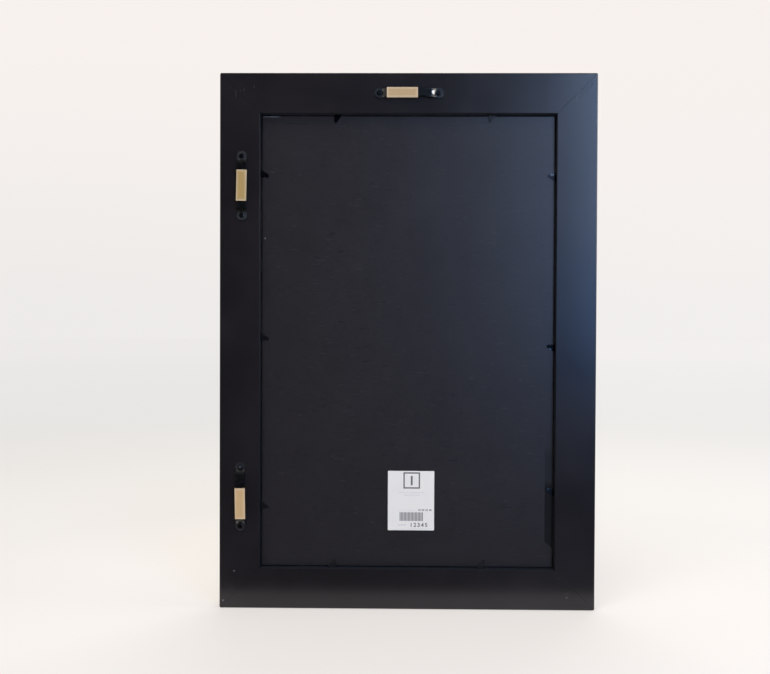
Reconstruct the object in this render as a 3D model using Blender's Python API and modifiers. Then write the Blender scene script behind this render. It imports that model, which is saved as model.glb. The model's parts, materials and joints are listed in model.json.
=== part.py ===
# Photo frame for a 279 by 432 mm print, modelled as it comes apart on a bench.
# Metres, +Z up. The back faces -Y and the picture side faces +Y.
# The origin is the middle of the whole frame's underside.

import math

import bmesh
import bpy
from mathutils import Matrix

# Fits shared by all pieces
SEAT_GAP = 0.0003
MITRE_GAP = 0.0003
CUT_OVERRUN = 0.002
WELD_DISTANCE = 0.000001

# Moulding
BACK_WIDTH = 0.0381
LIP_WIDTH = 0.00635
RAIL_DEPTH = 0.020
LIP_THICKNESS = 0.0052
BACK_EDGE_RADIUS = 0.0012
FRONT_EDGE_RADIUS = 0.0018
RABBET_EDGE_RADIUS = 0.0004
SIGHT_BEVEL_RUN = 0.0022
SIGHT_BEVEL_DROP = 0.0014
SIGHT_EDGE_RADIUS = 0.0006

# Sheets in the rabbet, from the lip backwards
SHEET_WIDTH = 0.2794
SHEET_HEIGHT = 0.4318
SHEET_PLAY = 0.0016
GLAZING_THICKNESS = 0.0020
INSERT_THICKNESS = 0.0004
FILLER_THICKNESS = 0.0016
BACKING_THICKNESS = 0.0026

# Label on the backing
LABEL_WIDTH = 0.0445
LABEL_HEIGHT = 0.0572
LABEL_THICKNESS = 0.00014
LABEL_CORNER_RADIUS = 0.0012
LABEL_GLUE_GAP = 0.00012
LABEL_FROM_MIDDLE = 0.0041
LABEL_ABOVE_OPENING = 0.0649

# V-nails across the mitres
NAIL_ARM = 0.0062
NAIL_THICKNESS = 0.0005
NAIL_HEIGHT = 0.0080
NAIL_SUNK = 0.0015
NAIL_PLACE_SHARES = {"outer": 0.24, "inner": 0.60}

# Sawtooth hangers
BRIDGE_WIDTH = 0.0081
PAD_OVERHANG = 0.00075
HANGER_THICKNESS = 0.0008
HANGER_RISE = 0.0026
HANGER_BEND_RADIUS = 0.0008
BRIDGE_LENGTH = 0.0432
JOGGLE_RUN = 0.0038
TOOTH_PITCH = 0.0024
TOOTH_DEPTH = 0.0019
TOOTH_MARGIN = 0.0047
HANGER_HOLE_PLAY = 0.0005
HANGER_FROM_END = 0.1073
TOP_HANGER_INWARDS = 0.0003
UPPER_HANGER_INWARDS = 0.0020
LOWER_HANGER_INWARDS = 0.0011
TOP_HANGER_SIDEWAYS = 0.0005

# Screws in the hangers
SCREW_HEAD_RADIUS = 0.0024
SCREW_HEAD_HEIGHT = 0.0013
SCREW_HEAD_RIM = 0.0004
SCREW_SHANK_RADIUS = 0.0011
SCREW_LENGTH = 0.0115
SCREW_TIP_LENGTH = 0.0026
SCREW_HEAD_PLAY = 0.0001

# Card sleeves round the bridges
SLEEVE_LENGTH = 0.0294
SLEEVE_WALL = 0.00045
SLEEVE_PLAY = 0.00035
SLEEVE_FOLD_RADIUS = 0.00015

# Flexible points in the rabbet walls
POINT_THICKNESS = 0.0004
POINT_REACH = 0.0082
POINT_TIP_RADIUS = 0.0015
POINT_BASE_WIDTH = 0.0072
POINT_HINGE_GAP = 0.00035
POINT_ROOT_LENGTH = 0.0064
POINT_ROOT_TIP_WIDTH = 0.0022

# Places of the points along the opening, from its middle, as shares of the opening's side.
# Along each rail they run in the rail's own direction, which goes round the frame.
POINT_PLACE_SHARES = {
    "bottom": {"a": -0.245, "b": 0.260},
    "left": {"a": -0.365, "b": -0.006, "c": 0.366},
    "top": {"a": -0.276, "b": 0.245},
    "right": {"a": -0.325, "b": -0.008, "c": 0.366},
}

# Facet counts
EDGE_STEPS = 6
BEND_STEPS = 5
END_STEPS = 24
HOLE_STEPS = 24
SCREW_STEPS = 24
TIP_STEPS = 7
HEAD_STEPS = 6
FLAT_ANGLE = math.radians(0.5)
SHARP_ANGLE = math.radians(30)

# Sizes that follow from the ones above
RABBET_DEPTH = RAIL_DEPTH - LIP_THICKNESS
FACE_WIDTH = BACK_WIDTH + LIP_WIDTH
OPENING_WIDTH = SHEET_WIDTH + 2 * SHEET_PLAY
OPENING_HEIGHT = SHEET_HEIGHT + 2 * SHEET_PLAY
FRAME_WIDTH = OPENING_WIDTH + 2 * BACK_WIDTH
FRAME_HEIGHT = OPENING_HEIGHT + 2 * BACK_WIDTH

GLAZING_BACK = RABBET_DEPTH - SEAT_GAP - GLAZING_THICKNESS
INSERT_BACK = GLAZING_BACK - SEAT_GAP - INSERT_THICKNESS
FILLER_BACK = INSERT_BACK - SEAT_GAP - FILLER_THICKNESS
BACKING_BACK = FILLER_BACK - SEAT_GAP - BACKING_THICKNESS
POINT_DEPTH = BACKING_BACK - SEAT_GAP - POINT_THICKNESS / 2

PAD_PROUD = SEAT_GAP + HANGER_THICKNESS / 2
BRIDGE_PROUD = PAD_PROUD + HANGER_RISE
PAD_WIDTH = BRIDGE_WIDTH + 2 * PAD_OVERHANG
SLEEVE_INNER_WIDTH = BRIDGE_WIDTH + 2 * SLEEVE_PLAY
SLEEVE_INNER_HEIGHT = HANGER_THICKNESS + 2 * SLEEVE_PLAY
SLEEVE_OUTER_WIDTH = SLEEVE_INNER_WIDTH + 2 * SLEEVE_WALL
SLEEVE_OUTER_HEIGHT = SLEEVE_INNER_HEIGHT + 2 * SLEEVE_WALL
HARDWARE_PROUD = BRIDGE_PROUD + SLEEVE_OUTER_HEIGHT / 2
JOGGLE_ANGLE = math.atan2(HANGER_RISE, JOGGLE_RUN)
BEND_SETBACK = HANGER_BEND_RADIUS * math.tan(JOGGLE_ANGLE / 2)
BRIDGE_FLAT = BRIDGE_LENGTH / 2 - BEND_SETBACK
HOLE_FROM_MIDDLE = BRIDGE_LENGTH / 2 + JOGGLE_RUN + BEND_SETBACK + SCREW_HEAD_RADIUS + SCREW_HEAD_PLAY
HANGER_HOLE_RADIUS = SCREW_SHANK_RADIUS + HANGER_HOLE_PLAY
SLEEVE_TRAVEL = BRIDGE_FLAT - SEAT_GAP - SLEEVE_LENGTH / 2

# The rails' back plane, so that the whole frame is centred front to back
BACK_PLANE = HARDWARE_PROUD - (RAIL_DEPTH + HARDWARE_PROUD) / 2

# Each side is the bottom rail turned about Y by quarter turns.
# Its own X runs along the rail, its Z points in to the opening and its Y is the depth from the back.
# The corner at its -X end is shared with the side named beside it.
SIDES = {
    "bottom": {"turns": 0, "half_length": FRAME_WIDTH / 2, "reach": FRAME_HEIGHT / 2,
               "opening": OPENING_WIDTH, "corner": "bottom_left", "next_side": "left"},
    "left": {"turns": 1, "half_length": FRAME_HEIGHT / 2, "reach": FRAME_WIDTH / 2,
             "opening": OPENING_HEIGHT, "corner": "top_left", "next_side": "top"},
    "top": {"turns": 2, "half_length": FRAME_WIDTH / 2, "reach": FRAME_HEIGHT / 2,
            "opening": OPENING_WIDTH, "corner": "top_right", "next_side": "right"},
    "right": {"turns": 3, "half_length": FRAME_HEIGHT / 2, "reach": FRAME_WIDTH / 2,
              "opening": OPENING_HEIGHT, "corner": "bottom_right", "next_side": "bottom"},
}

# Each hanger: the side that carries it, its middle along that side and in from the edge,
# and its sleeve's place on the bridge
RAIL_MIDDLE = BACK_WIDTH / 2
LANDSCAPE_SPREAD = FRAME_HEIGHT / 2 - HANGER_FROM_END
HANGERS = {
    "top": {"side": "top", "along": -TOP_HANGER_SIDEWAYS, "inward": RAIL_MIDDLE + TOP_HANGER_INWARDS,
            "sleeve": SLEEVE_TRAVEL, "screws": ("right", "left")},
    "upper": {"side": "left", "along": -LANDSCAPE_SPREAD, "inward": RAIL_MIDDLE + UPPER_HANGER_INWARDS,
              "sleeve": 0, "screws": ("high", "low")},
    "lower": {"side": "left", "along": LANDSCAPE_SPREAD, "inward": RAIL_MIDDLE + LOWER_HANGER_INWARDS,
              "sleeve": SLEEVE_TRAVEL, "screws": ("high", "low")},
}


def clear_scene():
    for item in list(bpy.data.objects):
        bpy.data.objects.remove(item, do_unlink=True)


def new_collection(name):
    collection = bpy.data.collections.new(name)
    bpy.context.scene.collection.children.link(collection)
    return collection


def new_material(name, colour, roughness, metallic=0.0, transmission=0.0):
    material = bpy.data.materials.new(name)
    material.use_nodes = True
    shader = material.node_tree.nodes["Principled BSDF"]
    shader.inputs["Base Color"].default_value = (*colour, 1.0)
    shader.inputs["Roughness"].default_value = roughness
    shader.inputs["Metallic"].default_value = metallic
    shader.inputs["Transmission Weight"].default_value = transmission
    material.diffuse_color = (*colour, 1.0)
    return material


def add_object(name, mesh, place, collection, material=None):
    item = bpy.data.objects.new(name, mesh)
    collection.objects.link(item)
    item.matrix_world = place
    if material is not None:
        item.data.materials.clear()
        item.data.materials.append(material)
    return item


def add_cutter(name, mesh, place, collection):
    cutter = add_object(name, mesh, place, collection)
    cutter.hide_render = True
    cutter.display_type = 'WIRE'
    return cutter


def add_boolean(item, cutter, operation='DIFFERENCE'):
    modifier = item.modifiers.new(cutter.name, 'BOOLEAN')
    modifier.operation = operation
    modifier.solver = 'EXACT'
    modifier.object = cutter
    return modifier


# Outlines, as lists of points in a plane

def arc_points(centre, radius, start, end, steps):
    points = []
    for step in range(steps + 1):
        angle = start + (end - start) * step / steps
        points.append((centre[0] + radius * math.cos(angle), centre[1] + radius * math.sin(angle)))
    return points


# A closed outline from corners given as (x, y, radius), each corner rounded by its own radius
def rounded_outline(corners, steps):
    points = []
    count = len(corners)
    for index, (x, y, radius) in enumerate(corners):
        before = corners[index - 1]
        after = corners[(index + 1) % count]
        if radius == 0:
            points.append((x, y))
            continue
        angle_in = math.atan2(before[1] - y, before[0] - x)
        angle_out = math.atan2(after[1] - y, after[0] - x)
        opening = (angle_out - angle_in + math.pi) % (2 * math.pi) - math.pi
        middle = angle_in + opening / 2
        distance = radius / math.sin(abs(opening) / 2)
        centre = (x + distance * math.cos(middle), y + distance * math.sin(middle))
        sweep = math.copysign(math.pi - abs(opening), -opening)
        start = middle + math.pi - sweep / 2
        points.extend(arc_points(centre, radius, start, start + sweep, steps))
    return points


def rectangle(width, height, radius):
    return [(-width / 2, -height / 2, radius), (width / 2, -height / 2, radius),
            (width / 2, height / 2, radius), (-width / 2, height / 2, radius)]


# A flat outline, with any holes as further outlines, extruded along Z about the middle
def plate_mesh(name, outlines, thickness):
    curve = bpy.data.curves.new(name, 'CURVE')
    curve.dimensions = '2D'
    curve.fill_mode = 'BOTH'
    curve.extrude = thickness / 2
    for outline in outlines:
        spline = curve.splines.new('POLY')
        spline.points.add(len(outline) - 1)
        for point, (x, y) in zip(spline.points, outline):
            point.co = (x, y, 0, 1)
        spline.use_cyclic_u = True
    holder = bpy.data.objects.new(name, curve)
    bpy.context.scene.collection.objects.link(holder)
    mesh = finished_mesh(holder, name)
    bpy.data.curves.remove(curve)
    return mesh


# The evaluated mesh of an object that is only needed for its shape
def finished_mesh(item, name):
    graph = bpy.context.evaluated_depsgraph_get()
    mesh = bpy.data.meshes.new_from_object(item.evaluated_get(graph))
    mesh.name = name
    bpy.data.objects.remove(item, do_unlink=True)
    clean_mesh(mesh)
    return mesh


# Loose caps are welded, flat facets become one face, and all faces point out
def clean_mesh(mesh):
    work = bmesh.new()
    work.from_mesh(mesh)
    bmesh.ops.remove_doubles(work, verts=work.verts, dist=WELD_DISTANCE)
    bmesh.ops.dissolve_limit(work, angle_limit=FLAT_ANGLE, verts=work.verts, edges=work.edges)
    bmesh.ops.recalc_face_normals(work, faces=work.faces)
    work.to_mesh(mesh)
    work.free()


# The same plate turned so that its outline stands in XZ and its thickness runs along Y
def upright_plate_mesh(name, outlines, thickness):
    mesh = plate_mesh(name, outlines, thickness)
    mesh.transform(Matrix.Rotation(math.pi / 2, 4, 'X'))
    return mesh


def box_mesh(name, width, depth, height):
    work = bmesh.new()
    bmesh.ops.create_cube(work, size=1)
    bmesh.ops.scale(work, vec=(width, depth, height), verts=work.verts)
    mesh = bpy.data.meshes.new(name)
    work.to_mesh(mesh)
    work.free()
    return mesh


def smooth_rounds(mesh):
    mesh.shade_smooth()
    mesh.set_sharp_from_angle(angle=SHARP_ANGLE)


# A place in a side's own directions: along the rail, depth from the back plane, inwards from the outer edge
def side_place(side, along, depth, inward):
    values = SIDES[side]
    turn = Matrix.Rotation(values["turns"] * math.pi / 2, 4, 'Y')
    middle = Matrix.Translation((0, BACK_PLANE, FRAME_HEIGHT / 2))
    return middle @ turn @ Matrix.Translation((along, depth, inward - values["reach"]))


def centre_place(across, depth, height):
    return Matrix.Translation((across, BACK_PLANE + depth, height))


# Moulding

def rail_profile():
    corners = [
        (0, 0, BACK_EDGE_RADIUS),
        (BACK_WIDTH, 0, RABBET_EDGE_RADIUS),
        (BACK_WIDTH, RABBET_DEPTH, 0),
        (FACE_WIDTH, RABBET_DEPTH, RABBET_EDGE_RADIUS),
        (FACE_WIDTH, RAIL_DEPTH - SIGHT_BEVEL_DROP, SIGHT_EDGE_RADIUS),
        (FACE_WIDTH - SIGHT_BEVEL_RUN, RAIL_DEPTH, SIGHT_EDGE_RADIUS),
        (0, RAIL_DEPTH, FRONT_EDGE_RADIUS),
    ]
    return rounded_outline(corners, EDGE_STEPS)


# The section is extruded along X, and its ends are sheared to 45 degrees, so that they recede as they go in
def rail_mesh(name, half_length):
    mesh = plate_mesh(name, [rail_profile()], 2 * half_length)
    recess = MITRE_GAP / math.sqrt(2)
    for vertex in mesh.vertices:
        inward, depth, along = vertex.co
        end = half_length - inward - recess
        vertex.co = (math.copysign(end, along), depth, inward)
    clean_mesh(mesh)
    smooth_rounds(mesh)
    return mesh


def make_rails(parts, material):
    rails = {}
    for side, values in SIDES.items():
        mesh = rail_mesh("rail_" + side, values["half_length"])
        rails[side] = add_object("rail_" + side, mesh, side_place(side, 0, 0, 0), parts, material)
    return rails


# V-nails, and the pockets that they fill in both rails of a corner

def nail_outline(arm, thickness):
    half = thickness / 2
    return [(-half, -half), (arm, -half), (arm, half), (half, half), (half, arm), (-half, arm)]


def make_corner_nails(parts, cutters, material, rails):
    middle_depth = NAIL_SUNK + NAIL_HEIGHT / 2
    nail = upright_plate_mesh("corner_nail", [nail_outline(NAIL_ARM, NAIL_THICKNESS)], NAIL_HEIGHT)
    pocket_outline = nail_outline(NAIL_ARM + SEAT_GAP, NAIL_THICKNESS + 2 * SEAT_GAP)
    pocket = upright_plate_mesh("corner_nail_pocket", [pocket_outline], NAIL_HEIGHT + 2 * SEAT_GAP)
    for side, values in SIDES.items():
        for row, share in NAIL_PLACE_SHARES.items():
            inward = share * BACK_WIDTH
            place = side_place(side, inward - values["half_length"], middle_depth, inward)
            name = values["corner"] + "_" + row
            add_object("corner_nail_" + name, nail.copy(), place, parts, material)
            cutter = add_cutter("nail_pocket_" + name, pocket, place, cutters)
            add_boolean(rails[side], cutter)
            add_boolean(rails[values["next_side"]], cutter)


# Sheets in the rabbet and the label on the backing

def make_sheets(parts, materials):
    middle_height = FRAME_HEIGHT / 2
    sheets = {
        "glazing_sheet": (GLAZING_BACK, GLAZING_THICKNESS),
        "insert_sheet": (INSERT_BACK, INSERT_THICKNESS),
        "filler_board": (FILLER_BACK, FILLER_THICKNESS),
        "backing_board": (BACKING_BACK, BACKING_THICKNESS),
    }
    for name, (back, thickness) in sheets.items():
        mesh = box_mesh(name, SHEET_WIDTH, thickness, SHEET_HEIGHT)
        place = centre_place(0, back + thickness / 2, middle_height)
        add_object(name, mesh, place, parts, materials[name])


def make_label(parts, material):
    outline = rounded_outline(rectangle(LABEL_WIDTH, LABEL_HEIGHT, LABEL_CORNER_RADIUS), EDGE_STEPS)
    mesh = upright_plate_mesh("back_label", [outline], LABEL_THICKNESS)
    depth = BACKING_BACK - LABEL_GLUE_GAP - LABEL_THICKNESS / 2
    place = centre_place(LABEL_FROM_MIDDLE, depth, BACK_WIDTH + LABEL_ABOVE_OPENING)
    add_object("back_label", mesh, place, parts, material)


# Sawtooth hangers: a joggled strip seen from its edge, and its outline in plan, give the stamped shape

# The strip's middle line from the bridge's centre out to one end, as (x, height, angle of the strip)
def joggle_path(end):
    shoulder = BRIDGE_LENGTH / 2
    foot = shoulder + JOGGLE_RUN
    radius = HANGER_BEND_RADIUS
    path = []
    centre_x = shoulder - BEND_SETBACK
    for step in range(BEND_STEPS + 1):
        angle = JOGGLE_ANGLE * step / BEND_STEPS
        height = BRIDGE_PROUD - radius + radius * math.cos(angle)
        path.append((centre_x + radius * math.sin(angle), height, angle))
    centre_x = foot + BEND_SETBACK
    for step in range(BEND_STEPS + 1):
        angle = JOGGLE_ANGLE * (BEND_STEPS - step) / BEND_STEPS
        height = PAD_PROUD + radius - radius * math.cos(angle)
        path.append((centre_x - radius * math.sin(angle), height, angle))
    path.append((end, PAD_PROUD, 0))
    return path


# The strip is drawn with its height towards -Y, as it stands out from the frame's back
def strip_outline(end):
    half = HANGER_THICKNESS / 2
    outer = []
    inner = []
    for x, height, angle in joggle_path(end):
        outer.append((x + half * math.sin(angle), -height - half * math.cos(angle)))
        inner.append((x - half * math.sin(angle), -height + half * math.cos(angle)))
    mirrored_outer = [(-x, y) for x, y in reversed(outer)]
    mirrored_inner = [(-x, y) for x, y in inner]
    return mirrored_outer + outer + list(reversed(inner)) + mirrored_inner


# Round pads about the screw holes, a straight edge on the outside and the teeth towards the opening.
# The pads are wider than the bridge, so their arcs run on past the half circle until they meet its edges.
def hanger_plan():
    radius = PAD_WIDTH / 2
    edge = BRIDGE_WIDTH / 2
    teeth = math.floor((BRIDGE_LENGTH - 2 * TOOTH_MARGIN) / TOOTH_PITCH)
    start = -teeth * TOOTH_PITCH / 2
    turn = math.pi - math.asin(edge / radius)
    points = arc_points((HOLE_FROM_MIDDLE, 0), radius, -turn, turn, END_STEPS)
    for tooth in reversed(range(teeth)):
        tip = start + (tooth + 1) * TOOTH_PITCH
        points.append((tip, edge))
        points.append((tip - TOOTH_PITCH / 2, edge - TOOTH_DEPTH))
    points.append((start, edge))
    points.extend(arc_points((-HOLE_FROM_MIDDLE, 0), radius, math.pi - turn, math.pi + turn, END_STEPS))
    return points


def hole_outline(x, radius):
    points = arc_points((x, 0), radius, 0, 2 * math.pi, HOLE_STEPS)
    return points[:-1]


def hanger_mesh(cutters):
    end = HOLE_FROM_MIDDLE + PAD_WIDTH / 2 + CUT_OVERRUN
    strip = plate_mesh("hanger_strip", [strip_outline(end)], PAD_WIDTH + 2 * CUT_OVERRUN)
    holes = [hole_outline(side * HOLE_FROM_MIDDLE, HANGER_HOLE_RADIUS) for side in (-1, 1)]
    height = BRIDGE_PROUD + HANGER_THICKNESS + CUT_OVERRUN
    plan = upright_plate_mesh("hanger_plan", [hanger_plan()] + holes, height)
    plan.transform(Matrix.Translation((0, -height / 2, 0)))
    blank = add_object("hanger_blank", strip, Matrix.Identity(4), cutters)
    stamp = add_cutter("hanger_stamp", plan, Matrix.Identity(4), cutters)
    add_boolean(blank, stamp, 'INTERSECT')
    mesh = finished_mesh(blank, "hanger")
    bpy.data.objects.remove(stamp, do_unlink=True)
    smooth_rounds(mesh)
    return mesh


# Screws: a turned pan head, shank and point, with the head towards the back

def screw_mesh(cutters):
    rim = SCREW_HEAD_RIM
    dome = SCREW_HEAD_HEIGHT - rim
    profile = [(0, SCREW_HEAD_HEIGHT)]
    for step in range(1, HEAD_STEPS + 1):
        angle = math.pi / 2 * (HEAD_STEPS - step) / HEAD_STEPS
        profile.append((SCREW_HEAD_RADIUS * math.cos(angle), rim + dome * math.sin(angle)))
    shank_end = SCREW_TIP_LENGTH - SCREW_LENGTH
    profile += [(SCREW_HEAD_RADIUS, 0), (SCREW_SHANK_RADIUS, 0), (SCREW_SHANK_RADIUS, shank_end),
                (0, -SCREW_LENGTH)]
    mesh = bpy.data.meshes.new("screw_profile")
    edges = [(index, index + 1) for index in range(len(profile) - 1)]
    mesh.from_pydata([(x, 0, z) for x, z in profile], edges, [])
    holder = add_object("screw_turning", mesh, Matrix.Identity(4), cutters)
    turning = holder.modifiers.new("turn", 'SCREW')
    turning.steps = SCREW_STEPS
    turning.render_steps = SCREW_STEPS
    turning.use_merge_vertices = True
    turning.merge_threshold = WELD_DISTANCE
    turned = finished_mesh(holder, "hanger_screw")
    turned.transform(Matrix.Rotation(math.pi / 2, 4, 'X'))
    smooth_rounds(turned)
    return turned


def pilot_hole_mesh():
    length = SCREW_LENGTH + SEAT_GAP
    radius = SCREW_SHANK_RADIUS + SEAT_GAP
    work = bmesh.new()
    bmesh.ops.create_cone(work, cap_ends=True, segments=SCREW_STEPS, radius1=radius, radius2=radius, depth=length)
    mesh = bpy.data.meshes.new("pilot_hole")
    work.to_mesh(mesh)
    work.free()
    mesh.transform(Matrix.Translation((0, 0, -length / 2)))
    mesh.transform(Matrix.Rotation(math.pi / 2, 4, 'X'))
    return mesh


# Sleeves: a flat card tube that slides on the bridge

def sleeve_mesh():
    outer_radius = SLEEVE_FOLD_RADIUS + SLEEVE_WALL
    outer = rounded_outline(rectangle(SLEEVE_OUTER_HEIGHT, SLEEVE_OUTER_WIDTH, outer_radius), EDGE_STEPS)
    inner = rounded_outline(rectangle(SLEEVE_INNER_HEIGHT, SLEEVE_INNER_WIDTH, SLEEVE_FOLD_RADIUS), EDGE_STEPS)
    mesh = plate_mesh("hanger_sleeve", [outer, inner], SLEEVE_LENGTH)
    mesh.transform(Matrix.Rotation(math.pi / 2, 4, 'Y') @ Matrix.Rotation(math.pi / 2, 4, 'Z'))
    smooth_rounds(mesh)
    return mesh


def make_hangers(parts, cutters, materials, rails):
    plate = hanger_mesh(cutters)
    screw = screw_mesh(cutters)
    pilot = pilot_hole_mesh()
    sleeve = sleeve_mesh()
    head_seat = -(PAD_PROUD + HANGER_THICKNESS / 2 + SEAT_GAP)
    for name, values in HANGERS.items():
        side = values["side"]
        along = values["along"]
        inward = values["inward"]
        place = side_place(side, along, 0, inward)
        add_object("hanger_" + name, plate.copy(), place, parts, materials["hanger"])
        for end, label in zip((-1, 1), values["screws"]):
            screw_place = side_place(side, along + end * HOLE_FROM_MIDDLE, head_seat, inward)
            screw_name = name + "_" + label
            add_object("hanger_screw_" + screw_name, screw.copy(), screw_place, parts, materials["screw"])
            cutter = add_cutter("pilot_" + screw_name, pilot, screw_place, cutters)
            add_boolean(rails[side], cutter)
        sleeve_place = side_place(side, along + values["sleeve"], -BRIDGE_PROUD, inward)
        add_object("hanger_sleeve_" + name, sleeve.copy(), sleeve_place, parts, materials["sleeve"])


# Points: the strip tapers to a round tip, with one straight edge and one slanted edge

def tongue_outline():
    radius = POINT_TIP_RADIUS
    centre = POINT_REACH - POINT_HINGE_GAP - radius
    base = POINT_BASE_WIDTH - radius
    slant = math.atan2(centre, base) + math.asin(radius / math.hypot(base, centre))
    points = [(-base, 0), (radius, 0)]
    points.extend(arc_points((0, centre), radius, 0, math.pi / 2 + slant, TIP_STEPS))
    return points


def root_outline():
    base = POINT_BASE_WIDTH - POINT_TIP_RADIUS
    middle = POINT_TIP_RADIUS - POINT_BASE_WIDTH / 2
    half_tip = POINT_ROOT_TIP_WIDTH / 2
    return [(POINT_TIP_RADIUS, 0), (-base, 0), (middle - half_tip, -POINT_ROOT_LENGTH),
            (middle + half_tip, -POINT_ROOT_LENGTH)]


def root_slot_mesh():
    width = POINT_BASE_WIDTH + 2 * SEAT_GAP
    length = POINT_ROOT_LENGTH + SEAT_GAP + CUT_OVERRUN
    mesh = box_mesh("root_slot", width, POINT_THICKNESS + 2 * SEAT_GAP, length)
    middle = POINT_TIP_RADIUS - POINT_BASE_WIDTH / 2
    mesh.transform(Matrix.Translation((middle, 0, CUT_OVERRUN - length / 2)))
    return mesh


def make_points(parts, cutters, material, rails):
    tongue = upright_plate_mesh("point_tongue", [tongue_outline()], POINT_THICKNESS)
    root = upright_plate_mesh("point_root", [root_outline()], POINT_THICKNESS)
    slot = root_slot_mesh()
    for side, places in POINT_PLACE_SHARES.items():
        for label, share in places.items():
            along = share * SIDES[side]["opening"]
            name = side + "_" + label
            wall = side_place(side, along, POINT_DEPTH, BACK_WIDTH)
            hinge = side_place(side, along, POINT_DEPTH, BACK_WIDTH + POINT_HINGE_GAP)
            add_object("point_tongue_" + name, tongue.copy(), hinge, parts, material)
            add_object("point_root_" + name, root.copy(), wall, parts, material)
            cutter = add_cutter("root_slot_" + name, slot, wall, cutters)
            add_boolean(rails[side], cutter)


def main():
    clear_scene()
    parts = new_collection("photo_frame")
    cutters = new_collection("photo_frame_cutters")
    materials = {
        "glazing_sheet": new_material("clear_glazing", (0.86, 0.90, 0.90), 0.05, transmission=0.9),
        "insert_sheet": new_material("plain_paper", (0.80, 0.80, 0.78), 0.85),
        "filler_board": new_material("grey_board", (0.42, 0.36, 0.28), 0.90),
        "backing_board": new_material("black_paper_board", (0.020, 0.021, 0.023), 0.80),
        "hanger": new_material("black_steel", (0.012, 0.012, 0.013), 0.35, metallic=0.6),
        "screw": new_material("black_screw_steel", (0.014, 0.014, 0.015), 0.30, metallic=0.8),
        "sleeve": new_material("tan_card", (0.52, 0.40, 0.26), 0.80),
    }
    rail_material = new_material("satin_black_lacquer", (0.012, 0.012, 0.015), 0.42)
    nail_material = new_material("bright_nail_steel", (0.55, 0.55, 0.56), 0.35, metallic=1.0)
    point_material = new_material("black_point_steel", (0.010, 0.010, 0.011), 0.40, metallic=0.5)
    label_material = new_material("white_label_paper", (0.72, 0.72, 0.75), 0.60)

    rails = make_rails(parts, rail_material)
    make_corner_nails(parts, cutters, nail_material, rails)
    make_sheets(parts, materials)
    make_label(parts, label_material)
    make_hangers(parts, cutters, materials, rails)
    make_points(parts, cutters, point_material, rails)


main()
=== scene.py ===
import json
import math
from functools import reduce

import bmesh
import bpy
from mathutils import Matrix, Vector


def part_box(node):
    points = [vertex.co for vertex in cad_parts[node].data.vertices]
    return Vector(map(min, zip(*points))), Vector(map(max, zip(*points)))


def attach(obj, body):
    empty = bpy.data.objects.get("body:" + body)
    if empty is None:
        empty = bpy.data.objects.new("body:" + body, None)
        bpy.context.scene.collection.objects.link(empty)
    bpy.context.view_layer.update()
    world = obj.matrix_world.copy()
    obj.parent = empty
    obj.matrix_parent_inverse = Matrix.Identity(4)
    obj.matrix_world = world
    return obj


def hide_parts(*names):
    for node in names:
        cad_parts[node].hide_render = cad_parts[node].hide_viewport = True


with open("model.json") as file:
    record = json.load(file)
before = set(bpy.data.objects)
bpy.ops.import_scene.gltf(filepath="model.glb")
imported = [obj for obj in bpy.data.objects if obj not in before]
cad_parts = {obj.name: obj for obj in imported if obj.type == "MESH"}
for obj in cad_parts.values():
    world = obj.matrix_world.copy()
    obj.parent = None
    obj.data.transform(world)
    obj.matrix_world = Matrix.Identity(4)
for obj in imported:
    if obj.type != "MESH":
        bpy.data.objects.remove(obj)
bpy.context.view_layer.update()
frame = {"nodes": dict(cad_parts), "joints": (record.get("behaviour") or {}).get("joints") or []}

# Metres, +Z up. The frame's back faces -Y and the picture side faces +Y.
mm = 0.001


# Working by hand: picking, edit mode and modifiers

def clearPicks():
    bpy.ops.object.select_all(action='DESELECT')


def takeUp(piece):
    clearPicks()
    piece.select_set(True)
    bpy.context.view_layer.objects.active = piece


def editOn(piece):
    takeUp(piece)
    bpy.ops.object.mode_set(mode='EDIT')


def editOff():
    bpy.ops.object.mode_set(mode='OBJECT')


# Selects the vertices, edges or faces that pass a test
def pick(piece, kind, test):
    bpy.ops.mesh.select_mode(type=kind)
    bpy.ops.mesh.select_all(action='DESELECT')
    work = bmesh.from_edit_mesh(piece.data)
    items = {'VERT': work.verts, 'EDGE': work.edges, 'FACE': work.faces}[kind]
    for item in items:
        if test(item):
            item.select_set(True)
    work.select_flush_mode()
    bmesh.update_edit_mesh(piece.data)


def near(a, b, slack=0.02 * mm):
    return abs(a - b) < slack


# True if both ends of an edge lie at these coordinates, None standing for any
def edgeAt(edge, x=None, y=None, z=None):
    wanted = (x, y, z)
    return all(
        goal is None or near(vertex.co[axis], goal)
        for vertex in edge.verts for axis, goal in enumerate(wanted)
    )


def spread(axis, edge):
    return abs(edge.verts[0].co[axis] - edge.verts[1].co[axis])


def extrude(value):
    bpy.ops.mesh.extrude_region_move(TRANSFORM_OT_translate={'value': value})


def shift(value):
    bpy.ops.transform.translate(value=value)


def roundPicked(offset, segments, affect='EDGES'):
    bpy.ops.mesh.bevel(offset=offset, offset_type='OFFSET', segments=segments, profile=0.5, affect=affect)


def bisect(spot, normal, clear=False):
    bpy.ops.mesh.select_all(action='SELECT')
    bpy.ops.mesh.bisect(plane_co=spot, plane_no=normal, clear_outer=clear, use_fill=clear)


# Adds edges across the piece in hand, at shares of its length on one axis
def cutAcross(low, high, axis, shares):
    normal = [float(index == axis) for index in range(3)]
    for share in shares:
        spot = low.copy()
        spot[axis] = low[axis] + (high[axis] - low[axis]) * share
        bisect(spot, normal)


def applyPlace(piece):
    takeUp(piece)
    bpy.ops.object.transform_apply(location=True, rotation=True, scale=True)


# Adds a primitive at its size and place, with nothing else picked
def addShape(operator, name, scale=(1, 1, 1), turn=(0, 0, 0), **settings):
    clearPicks()
    operator(**settings)
    piece = bpy.context.object
    piece.name = name
    piece.scale = scale
    piece.rotation_euler = turn
    applyPlace(piece)
    return piece


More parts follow.
